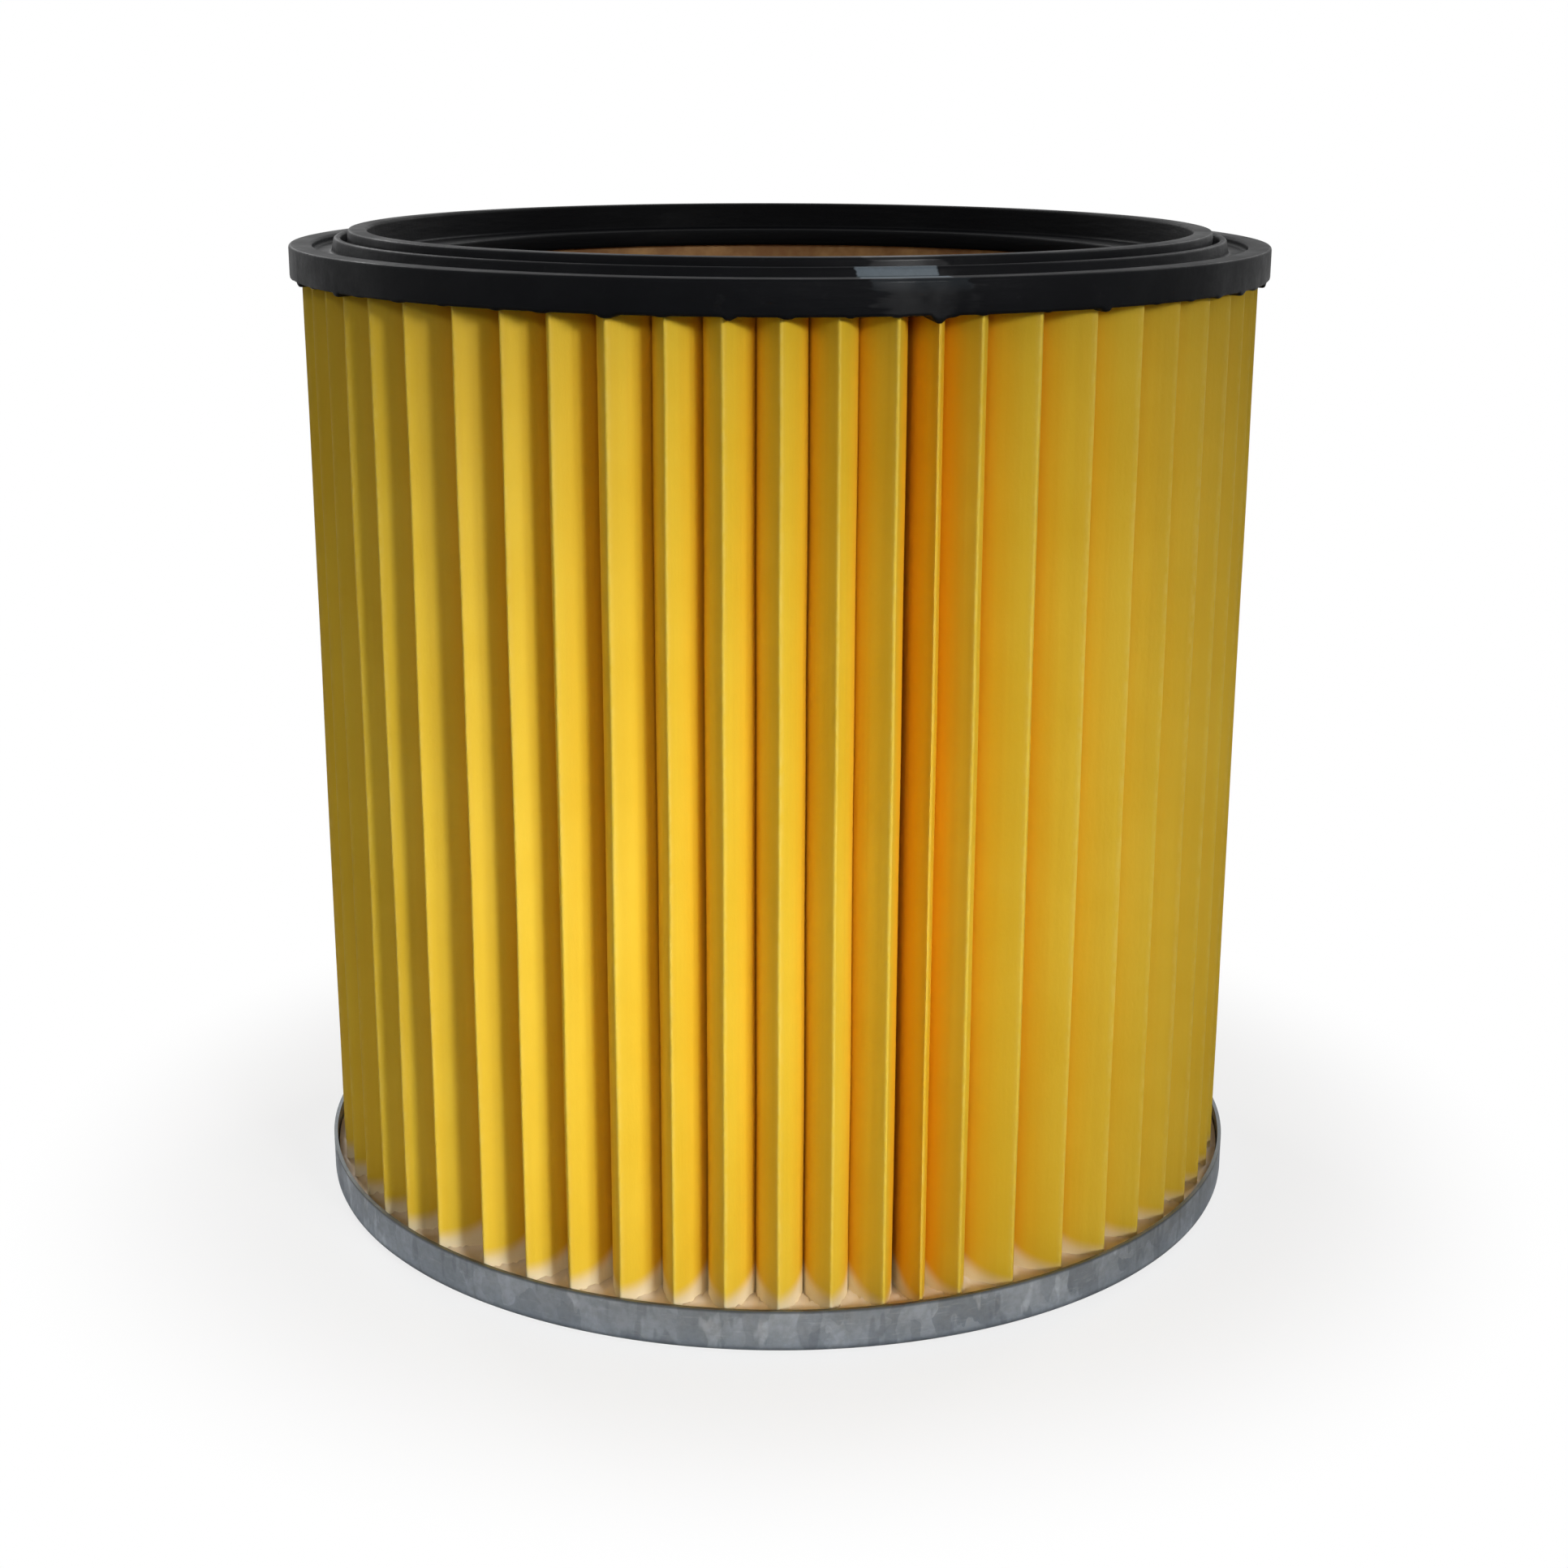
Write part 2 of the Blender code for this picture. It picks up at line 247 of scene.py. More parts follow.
class Web:
    """Builds one node tree."""

    def __init__(self, tree):
        self.tree = tree

    def node(self, kind, settings=None, inputs=None, output=0):
        made = self.tree.nodes.new(kind)
        for name, value in (settings or {}).items():
            setattr(made, name, value)
        for key, value in (inputs or {}).items():
            self.feed(made.inputs[key], value)
        return Wire(self, made.outputs[output]) if len(made.outputs) else made

    def feed(self, socket, value):
        if isinstance(value, Wire):
            self.tree.links.new(value.socket, socket)
        else:
            socket.default_value = value

    def sum_up(self, operation, *values):
        return self.node("ShaderNodeMath", {"operation": operation}, dict(enumerate(values)))

    def smooth(self, value, low, high):
        """0 below low, 1 above high, and a soft step between."""
        ends = {"Value": value, "From Min": low, "From Max": high}
        return self.node("ShaderNodeMapRange", {"interpolation_type": "SMOOTHSTEP"}, ends)

    def mix(self, share, first, second):
        """A colour between two colours."""
        colours = {6: self.colour(first), 7: self.colour(second)}
        return self.node("ShaderNodeMix", {"data_type": "RGBA"}, {0: share, **colours}, output=2)

    def colour(self, value):
        return value if isinstance(value, Wire) else (*value, 1)

    def noise(self, place, scale, detail=2.0, roughness=0.5):
        """Soft noise from 0 to 1."""
        knobs = {"Vector": place, "Scale": scale, "Detail": detail, "Roughness": roughness}
        return self.node("ShaderNodeTexNoise", None, knobs)

    def stretched(self, place, scale):
        """The place with its axes scaled one by one."""
        return self.node("ShaderNodeVectorMath", {"operation": "MULTIPLY"}, {0: place, 1: scale})

    def shaken(self, place, scale, reach):
        """The place, pushed about by soft noise."""
        push = self.node("ShaderNodeTexNoise", None, {"Vector": place, "Scale": scale}, output=1)
        inputs = {0: push, 1: (reach, reach, reach), 2: place}
        return self.node("ShaderNodeVectorMath", {"operation": "MULTIPLY_ADD"}, inputs)

    def place(self):
        return self.node("ShaderNodeTexCoord").also("Object")

    def axes(self, place):
        parts = self.node("ShaderNodeSeparateXYZ", None, {0: place})
        return parts, parts.also("Y"), parts.also("Z")

    def polar(self, place):
        """Radius and azimuth in degrees from the front towards +X, and height."""
        x, y, z = self.axes(place)
        radius = (x * x + y * y) ** 0.5
        azimuth = self.sum_up("ARCTAN2", x, y * -1) * math.degrees(1)
        return radius, azimuth, z

    def bump(self, height, distance, strength=1.0, under=None):
        knobs = {"Height": height, "Distance": distance, "Strength": strength}
        if under is not None:
            knobs["Normal"] = under
        return self.node("ShaderNodeBump", None, knobs)


def new_material(name):
    """An empty material and its web."""
    made = bpy.data.materials.new(name)
    made.use_nodes = True
    made.node_tree.nodes.clear()
    return made, Web(made.node_tree)


def end_surface(web, knobs):
    shader = web.node("ShaderNodeBsdfPrincipled", None, knobs)
    web.node("ShaderNodeOutputMaterial", None, {"Surface": shader})


# ---------------------------------------------------------------- materials

def between(web, value, low, high, soft):
    """1 between low and high, with soft edges."""
    return web.smooth(value, low - soft, low) * (1 - web.smooth(value, high, high + soft))


def filter_paper():
    made, web = new_material("yellow_filter_paper")
    place = web.place()
    radius, azimuth, height = web.polar(place)
    # Painted highlight: paler paper along the outermost crests, mixed in below
    crest = web.smooth(radius, FOLD_OUTER - 0.7 * MM, FOLD_OUTER + 0.1 * MM)
    # Painted shade: the paper turns a darker orange deeper in the folds, towards the core
    deep_shade = 1 - web.smooth(radius, FOLD_OUTER - 11 * MM, FOLD_OUTER - 2 * MM)
    fibres = web.noise(web.stretched(place, (1, 1, 0.35)), 1400, 3, 0.65)
    streaks = web.noise(web.stretched(place, (1, 1, 0.02)), 420, 2)
    clouds = web.noise(place, 38, 3, 0.6)
    base = web.mix(web.smooth(clouds, 0.3, 0.7), *PAPER_YELLOWS)
    base = web.mix(web.smooth(streaks, 0.35, 0.7) * 0.22, base, PAPER_STREAK)
    base = web.mix(deep_shade * 0.85, base, PAPER_DEPTH_SHADE)
    seam = between(web, azimuth, SEAM_AZIMUTH - 3.2, SEAM_AZIMUTH + 2.6, 1.2)
    base = web.mix(seam * 0.55, base, PAPER_SEAM)
    base = web.mix(crest * 0.30 * web.smooth(fibres, 0.25, 0.75), base, PAPER_CREST_HIGHLIGHT)
    # Resin soaks up the sheet's foot, further in the narrow of a valley and on the left side
    side = between(web, azimuth, -75, 5, 9)
    narrow = web.smooth(radius, FOLD_OUTER + 1 * MM, FOLD_OUTER - 10 * MM)
    climb = (narrow ** 2) * 3.4 + side * 1.5 + web.smooth(clouds, 0.25, 0.75) * 0.7 - 0.3
    reach = POTTING_HIGH.z - 1.2 * MM + climb * MM
    soaked = 1 - web.smooth(height, reach - 1.0 * MM, reach + 2.8 * MM)
    base = web.mix(soaked * 0.95, base, PAPER_SOAKED)
    grain = web.bump(fibres, 0.10 * MM, 0.5)
    grain = web.bump(streaks, 0.25 * MM, 0.35, grain)
    end_surface(web, {
        "Base Color": base, "Roughness": 0.54 + fibres * 0.2, "Normal": grain, "Specular IOR Level": 0.40})
    return made


def cast_rubber():
    made, web = new_material("black_cast_rubber")
    place = web.place()
    radius, azimuth, height = web.polar(place)
    cloud = web.noise(place, 55, 4, 0.6)
    fine = web.noise(place, 900, 3, 0.6)
    runs = web.noise(web.stretched(place, (1, 1, 6)), 130, 3)
    base = web.mix(web.smooth(cloud, 0.3, 0.75), *RUBBER_BLACKS)
    dust = web.smooth(web.noise(place, 260, 4, 0.7), 0.58, 0.80)
    outside = web.smooth(radius, BORE_RADIUS + 8.0 * MM, BORE_RADIUS + 9.0 * MM)
    base = web.mix(dust * 0.35 * outside, base, RUBBER_DUST)
    # Painted shade: the bore and the faces inside it darker than the outside
    base = web.mix((1 - outside) * 0.6, base, RUBBER_BORE_SHADE)
    # Dried residue: a smear on top of rib and flange, its pale grey a painted highlight, a film down the
    # edge and a faint trail below
    smear_and_highlight = between(web, azimuth + (runs - 0.5) * 1.5, *SMEAR_AND_HIGHLIGHT, 0.3)
    flange = between(web, radius, RING_RADIUS - 9.6 * MM, RING_RADIUS - 0.9 * MM, 0.2 * MM)
    flange = flange * web.smooth(height, FLANGE_TOP - 0.5 * MM, FLANGE_TOP - 0.1 * MM)
    smear_and_highlight = smear_and_highlight * flange
    base = web.mix(smear_and_highlight * (0.52 + fine * 0.3), base, RESIDUE_HIGHLIGHT_GREY)
    film = between(web, azimuth + (runs - 0.5) * 3, *FILM, 0.5)
    film = film * web.smooth(radius, RING_RADIUS - 1.0 * MM, RING_RADIUS - 0.4 * MM)
    film = film * web.smooth(height, FLANGE_TOP - 2.6 * MM, FLANGE_TOP - 0.6 * MM)
    base = web.mix(film * (1 - smear_and_highlight) * 0.6, base, RESIDUE_FILM)
    trail = between(web, azimuth + (runs - 0.5) * 9, *TRAIL, 1.2) * web.smooth(cloud, 0.35, 0.6)
    wet = web.sum_up("MAXIMUM", smear_and_highlight * 0.22, trail * outside * 0.3)
    rough = 0.50 + fine * 0.12 - web.smooth(cloud, 0.35, 0.75) * 0.14
    relief = web.bump(fine, 0.05 * MM, 0.5)
    relief = web.bump(runs, 0.30 * MM, 0.30, relief)
    end_surface(web, {
        "Base Color": base, "Roughness": rough, "Normal": relief, "Specular IOR Level": 0.055,
        "Coat Weight": wet, "Coat Roughness": 0.24})
    return made


def galvanised_steel():
    made, web = new_material("galvanised_steel")
    place = web.place()
    _, _, height = web.polar(place)
    flakes = web.shaken(web.stretched(place, (1, 1, 0.7)), 240, 6 * MM)
    cells = web.node("ShaderNodeTexVoronoi", None, {"Vector": flakes, "Scale": 260})
    tone = web.node("ShaderNodeSeparateColor", None, {0: cells.also("Color")})
    wipes = web.noise(web.stretched(place, (1, 1, 0.35)), 130, 3, 0.7)
    cloud = web.noise(place, 60, 4, 0.65)
    scuffs = web.noise(web.stretched(place, (1, 1, 7)), 260, 3)
    fine = web.noise(place, 700, 3, 0.6)
    base = web.mix(tone, *ZINC_GREYS)
    base = web.mix(web.smooth(cloud, 0.35, 0.72) * 0.5, base, ZINC_CLOUD)
    base = web.mix(web.smooth(wipes, 0.58, 0.63) * 0.45, base, ZINC_BRIGHT_WIPE)
    base = web.mix(web.smooth(wipes, 0.42, 0.37) * 0.4, base, ZINC_DARK_WIPE)
    base = web.mix(web.smooth(scuffs, 0.55, 0.8) * 0.35, base, ZINC_SCUFF)
    base = web.mix(web.smooth(fine, 0.35, 0.7) * 0.3, base, ZINC_SPECK)
    # Darker towards the bottom edge, and painted shade along the top rim, at the gap to the resin
    foot = 1 - web.smooth(height, 0.2 * MM, 1.8 * MM)
    rim = web.smooth(height, CAP_HIGH.z - 0.7 * MM, CAP_HIGH.z - 0.15 * MM)
    base = web.mix(web.sum_up("MAXIMUM", foot * 0.6, rim * 0.8), base, ZINC_DARK_FOOT_AND_RIM_SHADE)
    relief = web.bump(tone, 0.03 * MM, 0.4)
    relief = web.bump(cloud, 0.20 * MM, 0.25, relief)
    rough = 0.36 + tone * 0.12 + (scuffs - 0.5) * 0.15
    end_surface(web, {"Base Color": base, "Roughness": rough, "Metallic": 0.8, "Normal": relief})
    return made


def potting_resin():
    made, web = new_material("cream_potting_resin")
    place = web.place()
    radius, _, _ = web.polar(place)
    cloud = web.noise(place, 70, 3, 0.6)
    base = web.mix(web.smooth(cloud, 0.3, 0.7), *RESIN_CREAMS)
    # Painted shade: the resin darker brown at its outer edge, in the gap along the cap's wall
    edge_shade = web.smooth(radius, FOLD_OUTER - 0.8 * MM, FOLD_OUTER + 0.6 * MM)
    base = web.mix(edge_shade * 0.8, base, RESIN_EDGE_SHADE)
    relief = web.bump(cloud, 0.4 * MM, 0.3)
    end_surface(web, {"Base Color": base, "Roughness": 0.42 + cloud * 0.15, "Normal": relief})
    return made


def seam_glue():
    made, web = new_material("amber_seam_glue")
    cloud = web.noise(web.place(), 160, 3)
    base = web.mix(cloud, *GLUE_AMBERS)
    relief = web.bump(cloud, 0.2 * MM, 0.4)
    end_surface(web, {"Base Color": base, "Roughness": 0.25 + cloud * 0.15, "Normal": relief})
    return made


def core_steel():
    made, web = new_material("dull_core_steel")
    place = web.place()
    cloud = web.noise(place, 90, 4, 0.6)
    fine = web.noise(place, 1500, 2)
    base = web.mix(web.smooth(cloud, 0.35, 0.65), *CORE_BROWNS)
    relief = web.bump(fine, 0.03 * MM, 0.4)
    rough = 0.42 + fine * 0.2
    end_surface(web, {"Base Color": base, "Roughness": rough, "Metallic": 0.3, "Normal": relief})
    return made


# ---------------------------------------------------------------- shapes

def point_at(radius, degrees):
    """A point at a radius and an azimuth, counted from the front towards +X."""
    angle = math.radians(degrees)
    return Vector((radius * math.sin(angle), -radius * math.cos(angle)))


def fold_azimuths():
    """Azimuth of every outer fold, from the seam onwards."""
    half = FOLDS // 2
    gaps = []
    for number in range(FOLDS):
        place = (number + half) % FOLDS - half + 0.5
        drift = [share * math.exp(-(((place - middle) / spread) ** 2))
                 for middle, spread, share in SPACING_DRIFT]
        gaps.append(1 + sum(drift))
    even = 360 / sum(gaps)
    return [SEAM_AZIMUTH + even * sum(gaps[:number]) for number in range(FOLDS)]


def bulged_face(crest, middle, room, power, depth):
    """One face of a fold, from its crest down to its foot at the core.

    It bellies out until it nearly meets the next fold's face, at depth, and runs straight in from there.
    crest is a (radius, azimuth) pair, middle is the azimuth half way to the next fold, and room is how far
    from that line the face stays, at the waist and at the foot.
    """
    side = 1 if middle > crest[1] else -1
    waist = (crest[0] - depth, middle - side * math.degrees(room[0] / (crest[0] - depth)))
    foot = (FOLD_INNER + FOOT_HALF, middle - side * math.degrees(room[1] / FOLD_INNER))
    points = []
    for share in BELLY_SHARES:
        radius = crest[0] + (waist[0] - crest[0]) * share
        points.append(point_at(radius, crest[1] + (waist[1] - crest[1]) * (1 - (1 - share) ** power)))
    for share in FOOT_SHARES:
        radius = waist[0] + (foot[0] - waist[0]) * share
        points.append(point_at(radius, waist[1] + (foot[1] - waist[1]) * share))
    return points


def round_bottom(start, end):
    """A half circle, on the inner side, from one face's foot to the next one's."""
    middle = (start + end) / 2
    arm = start - middle
    inward = -middle.normalized() * arm.length
    angles = [math.pi * step / ARC_STEPS for step in range(1, ARC_STEPS)]
    return [middle + arm * math.cos(angle) + inward * math.sin(angle) for angle in angles]


def shifted(points, distance):
    """Points moved sideways, to the right of their direction of travel."""
    moved = []
    for number, point in enumerate(points):
        along = points[min(number + 1, len(points) - 1)] - points[max(number - 1, 0)]
        moved.append(point + Vector((along.y, -along.x)).normalized() * distance)
    return moved


def seam_faces():
    """The sheet's first face and the flap of its last one, which lies on it, both from the crest inwards."""
    folds = fold_azimuths()
    middle = (folds[0] + folds[-1] - 360) / 2 + SEAM_LEAN
    room = (WAIST_HALF + SEAM_STEP, FOOT_HALF + SEAM_STEP)
    first = bulged_face((FOLD_OUTER, folds[0]), middle, room, SEAM_POWER, BELLY_DEPTH[1])
    flap = [point for point in shifted(first, SEAM_STEP) if point.length < FOLD_OUTER - SEAM_SHORTFALL]
    return first, flap


def sheet_outline():
    """The folded sheet seen from above, with small differences from fold to fold."""
    dice = np.random.default_rng(SEED)
    folds = fold_azimuths()
    first, flap = seam_faces()
    path = first[::-1]
    crest = (FOLD_OUTER, folds[0])
    room = (WAIST_HALF, FOOT_HALF)
    for number, (here, after) in enumerate(zip(folds, [*folds[1:], folds[0] + 360])):
        last = number == FOLDS - 1
        middle = (here + after) / 2 + (SEAM_LEAN if last else dice.uniform(-VALLEY_DRIFT, VALLEY_DRIFT))
        down = bulged_face(crest, middle, room, dice.uniform(*BELLY_POWER), dice.uniform(*BELLY_DEPTH))
        path += down[1:]
        if last:
            path += round_bottom(down[-1], flap[-1]) + flap[::-1]
            break
        crest = (FOLD_OUTER - dice.uniform(0, CREST_DRIFT), after)
        up = bulged_face(crest, middle, room, dice.uniform(*BELLY_POWER), dice.uniform(*BELLY_DEPTH))[::-1]
        path += round_bottom(down[-1], up[0]) + up
    return blunted(path, FOLD_OUTER - NOSE_REACH)


def blunted(path, beyond):
    """The path with each crest, further out than the given radius, cut to a small round nose."""
    blunt = path[:1]
    for before, point, after in zip(path, path[1:], path[2:]):
        if point.length > beyond and point.length >= max(before.length, after.length):
            blunt += nose_side(point, before, NOSE_SHARES)
            blunt += nose_side(point, after, NOSE_SHARES[::-1])
        else:
            blunt.append(point)
    return blunt + path[-1:]


def nose_side(crest, beside, shares):
    """Points of a nose from its crest towards the next point, drawn in a little at the tip."""
    return [crest.lerp(beside, share) * (1 - NOSE_CUT * (NOSE_SHARES[0] - share)) for share in shares]


def mesh_object(name, points, faces):
    mesh = bpy.data.meshes.new(name)
    mesh.from_pydata([tuple(point) for point in points], [], faces)
    made = bpy.data.objects.new(name, mesh)
    bpy.context.scene.collection.objects.link(made)
    return made


def rounded(corners, radius, steps=3, closed=True):
    """A profile of (radius, height) corners with each corner made an arc of about the given radius."""
    points = [Vector(corner) for corner in corners]
    path = []
    for number, corner in enumerate(points):
        if not closed and number in (0, len(points) - 1):
            path.append(corner)
            continue
        before = points[number - 1] - corner
        after = points[(number + 1) % len(points)] - corner
        reach = min(radius, before.length * 0.45, after.length * 0.45)
        start = corner + before.normalized() * reach
        end = corner + after.normalized() * reach
        for step in range(steps + 1):
            share = step / steps
            path.append(start.lerp(corner, share).lerp(corner.lerp(end, share), share))
    return path


def turned(name, profile, columns, reshape=None):
    """Revolve a closed profile that runs down its outer side.

    reshape(radius, height, azimuth) may move its points.
    """
    radius, height = np.array([tuple(point) for point in profile]).T
    azimuth = np.linspace(0, 360, columns, endpoint=False)[:, None]
    radius = np.repeat(radius[None, :], columns, 0)
    height = np.repeat(height[None, :], columns, 0)
    if reshape:
        radius, height = reshape(radius, height, azimuth)
    angle = np.radians(azimuth)
    points = np.stack([radius * np.sin(angle), -radius * np.cos(angle), height], 2).reshape(-1, 3)
    rows = len(profile)
    faces = []
    for column in range(columns):
        here, after = column * rows, (column + 1) % columns * rows
        for row in range(rows):
            below = (row + 1) % rows
            faces.append((here + row, here + below, after + below, after + row))
    made = mesh_object(name, points, faces)
    clay = bmesh.new()
    clay.from_mesh(made.data)
    bmesh.ops.remove_doubles(clay, verts=clay.verts[:], dist=SAME_PLACE)
    bmesh.ops.dissolve_degenerate(clay, edges=clay.edges[:], dist=SAME_PLACE)
    clay.to_mesh(made.data)
    clay.free()
    return made


def finish(piece, material, node, sharp=35):
    """Give a piece its material, hang it under the root body and hide the frame's solid that it stands for.
    Edges over sharp degrees stay hard.
    """
    piece.data.materials.clear()
    piece.data.materials.append(material)
    piece.data.shade_smooth()
    piece.data.set_sharp_from_angle(angle=math.radians(sharp))
    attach(piece, "root")
    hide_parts(node)


# ---------------------------------------------------------------- Geometry Nodes

def new_tree(name, inputs):
    """A Geometry Nodes tree with named inputs: its web and one wire for each input."""
    tree = bpy.data.node_groups.new(name, "GeometryNodeTree")
    tree.interface.new_socket(name="Geometry", in_out="INPUT", socket_type="NodeSocketGeometry")
    for label, kind in inputs.items():
        tree.interface.new_socket(name=label, in_out="INPUT", socket_type="NodeSocket" + kind)
    tree.interface.new_socket(name="Geometry", in_out="OUTPUT", socket_type="NodeSocketGeometry")
    web = Web(tree)
    first = web.node("NodeGroupInput")
    return web, {label: first.also(label) for label in ["Geometry", *inputs]}


def end_tree(web, geometry, material):
    real = web.node("GeometryNodeRealizeInstances", None, {"Geometry": geometry})
    coated = web.node("GeometryNodeSetMaterial", None, {"Geometry": real, "Material": material})
    web.node("NodeGroupOutput", None, {0: coated})


def grow(piece, web, values):
    """Run the tree on a piece with its named values and keep the result as a plain mesh."""
    modifier = piece.modifiers.new("Grow", "NODES")
    modifier.node_group = web.tree
    for item in web.tree.interface.items_tree:
        if item.in_out == "INPUT" and item.name in values:
            modifier[item.identifier] = values[item.name]
    bake(piece)


def bake(piece):
    """Apply every modifier of a piece."""
    bpy.context.view_layer.update()
    shaped = piece.evaluated_get(bpy.context.evaluated_depsgraph_get())
    old = piece.data
    piece.data = bpy.data.meshes.new_from_object(shaped)
    piece.data.name = piece.name
    piece.modifiers.clear()
    if isinstance(old, bpy.types.Mesh):
        bpy.data.meshes.remove(old)


def sheet_tree():
    """Stands a flat outline up as a wall and lets it wander a little, as folded paper does."""
    web, given = new_tree("Raised Sheet", {
        "Bottom": "Float", "Top": "Float", "Rows": "Int", "Wander": "Float", "Seed": "Float",
        "Finish": "Material"})
    curve = web.node("GeometryNodeMeshToCurve", None, {"Mesh": given["Geometry"]})
    curve = web.node("GeometryNodeSetCurveNormal", {"mode": "Z_UP"}, {"Curve": curve})
    reach = (given["Top"] - given["Bottom"]) / 2
    low = web.node("ShaderNodeCombineXYZ", None, {"Y": reach * -1})
    high = web.node("ShaderNodeCombineXYZ", None, {"Y": reach})
    line = web.node("GeometryNodeCurvePrimitiveLine", None, {"Start": low, "End": high})
    line = web.node("GeometryNodeResampleCurve", None, {"Curve": line, "Count": given["Rows"]})
    wall = web.node("GeometryNodeCurveToMesh", None, {"Curve": curve, "Profile Curve": line})
    middle = web.node("ShaderNodeCombineXYZ", None, {"Z": (given["Top"] + given["Bottom"]) / 2})
    wall = web.node("GeometryNodeSetPosition", None, {"Geometry": wall, "Offset": middle})
    place = web.node("GeometryNodeInputPosition")
    place = web.stretched(place, (1, 1, 0.3))
    drift = web.node("ShaderNodeTexNoise", {"noise_dimensions": "4D"},
                     {"Vector": place, "W": given["Seed"], "Scale": 70.0, "Detail": 1.0}).also("Color")
    centred = web.node("ShaderNodeVectorMath", {"operation": "SUBTRACT"}, {0: drift, 1: (0.5, 0.5, 0.5)})
    level = web.node("ShaderNodeVectorMath", {"operation": "MULTIPLY"}, {0: centred, 1: (1, 1, 0)})
    offset = web.node("ShaderNodeVectorMath", {"operation": "SCALE"},
                      {0: level, "Scale": given["Wander"] * 2})
    wall = web.node("GeometryNodeSetPosition", None, {"Geometry": wall, "Offset": offset})
    end_tree(web, wall, given["Finish"])
    return web


def lattice_tree():
    """Expanded metal: a grid stood on its corners, each cell opened and leaned, then rolled into a tube."""
    web, given = new_tree("Expanded Metal", {
        "Columns": "Int", "Rows": "Int", "Radius": "Float", "Bottom": "Float", "Top": "Float",
        "Band": "Float", "Opening": "Float", "Lean": "Float", "Finish": "Material"})
    span = given["Columns"] + given["Rows"] + 2
    grid = web.node("GeometryNodeMeshGrid", None, {
        "Size X": span, "Size Y": span, "Vertices X": span + 1, "Vertices Y": span + 1})
    a, b, _ = web.axes(web.node("GeometryNodeInputPosition"))
    beside = web.sum_up("ABSOLUTE", a + b + 0.5) > given["Columns"] + 0.1
    beyond = web.sum_up("ABSOLUTE", a - b) > given["Rows"] - 0.5
    cells = web.node("GeometryNodeDeleteGeometry", {"domain": "FACE"},
                     {"Geometry": grid, "Selection": web.sum_up("MAXIMUM", beside, beyond)})
    # Lay the cells out flat: X runs round the tube, Y runs up it
    low = given["Bottom"] + given["Band"]
    high = given["Top"] - given["Band"]
    around = (a + b) / given["Columns"] * math.pi * given["Radius"]
    up = (low + high) / 2 + (a - b) / given["Rows"] * (high - low) / 2
    laid = web.node("ShaderNodeCombineXYZ", None, {"X": around, "Y": up})
    cells = web.node("GeometryNodeSetPosition", None, {"Geometry": cells, "Position": laid})
    # Remember each cell's middle, then cut its opening and lean the strands
    place = web.node("GeometryNodeInputPosition")
    cells = web.node("GeometryNodeStoreNamedAttribute", {"data_type": "FLOAT_VECTOR", "domain": "FACE"},
                     {"Geometry": cells, "Name": "middle", "Value": place})
    cells = web.node("GeometryNodeExtrudeMesh", {"mode": "FACES"}, {"Mesh": cells, "Offset Scale": 0.0})
    tops = cells.also("Top")
    opened = web.node("GeometryNodeScaleElements", {"domain": "FACE"},
                      {"Geometry": cells, "Selection": tops, "Scale": given["Opening"]})
    strands = web.node("GeometryNodeDeleteGeometry", {"domain": "FACE"},
                       {"Geometry": opened, "Selection": tops})
    middle = web.node("GeometryNodeInputNamedAttribute", {"data_type": "FLOAT_VECTOR"}, {"Name": "middle"})
    _, cell_up, _ = web.axes(middle)
    x, y, _ = web.axes(web.node("GeometryNodeInputPosition"))
    out = (y - cell_up) * given["Lean"]
    leaned = web.node("ShaderNodeCombineXYZ", None, {"X": x, "Y": y, "Z": out})
    strands = web.node("GeometryNodeSetPosition", None, {"Geometry": strands, "Position": leaned})
    # Roll
    x, y, z = web.axes(web.node("GeometryNodeInputPosition"))
    angle = x / given["Radius"]
    radius = given["Radius"] + z
    rolled = web.node("ShaderNodeCombineXYZ", None, {
        "X": radius * web.sum_up("SINE", angle), "Y": radius * web.sum_up("COSINE", angle) * -1, "Z": y})
    tube = web.node("GeometryNodeSetPosition", None, {"Geometry": strands, "Position": rolled})
    tube = web.node("GeometryNodeMergeByDistance", None, {"Geometry": tube, "Distance": 0.02 * MM})
    # A plain band at each end
    hoop = web.node("GeometryNodeMeshCylinder", {"fill_type": "NONE"}, {
        "Vertices": HOOP_SIDES, "Radius": given["Radius"], "Depth": given["Band"] * HOOP_OVERLAP})
    joined = web.node("GeometryNodeJoinGeometry")
    reach = given["Band"] * (HOOP_OVERLAP / 2)
    for height in (given["Bottom"] + reach, given["Top"] - reach):
        lift = web.node("ShaderNodeCombineXYZ", None, {"Z": height})
        placed = web.node("GeometryNodeSetPosition", None, {"Geometry": hoop, "Offset": lift})
        web.feed(joined.socket.node.inputs[0], placed)
    web.feed(joined.socket.node.inputs[0], tube)
    end_tree(web, joined, given["Finish"])
    return web


# ---------------------------------------------------------------- pieces

def make_sheet(material):
    outline = sheet_outline()
    edges = [(number, number + 1) for number in range(len(outline) - 1)]
    mesh = bpy.data.meshes.new("folded_sheet")
    mesh.from_pydata([(point.x, point.y, 0) for point in outline], edges, [])
    sheet = bpy.data.objects.new("folded_sheet", mesh)
    bpy.context.scene.collection.objects.link(sheet)
    grow(sheet, sheet_tree(), {
        "Bottom": SHEET_LOW.z, "Top": SHEET_HIGH.z, "Rows": SHEET_ROWS, "Wander": SHEET_WANDER,
        "Seed": 3.0, "Finish": material})
    shell = sheet.modifiers.new("Thickness", "SOLIDIFY")
    shell.thickness = SHEET_THICKNESS
    shell.offset = 0
    shell.use_even_offset = True
    bake(sheet)
    finish(sheet, material, "pleated_media", 60)
    return sheet


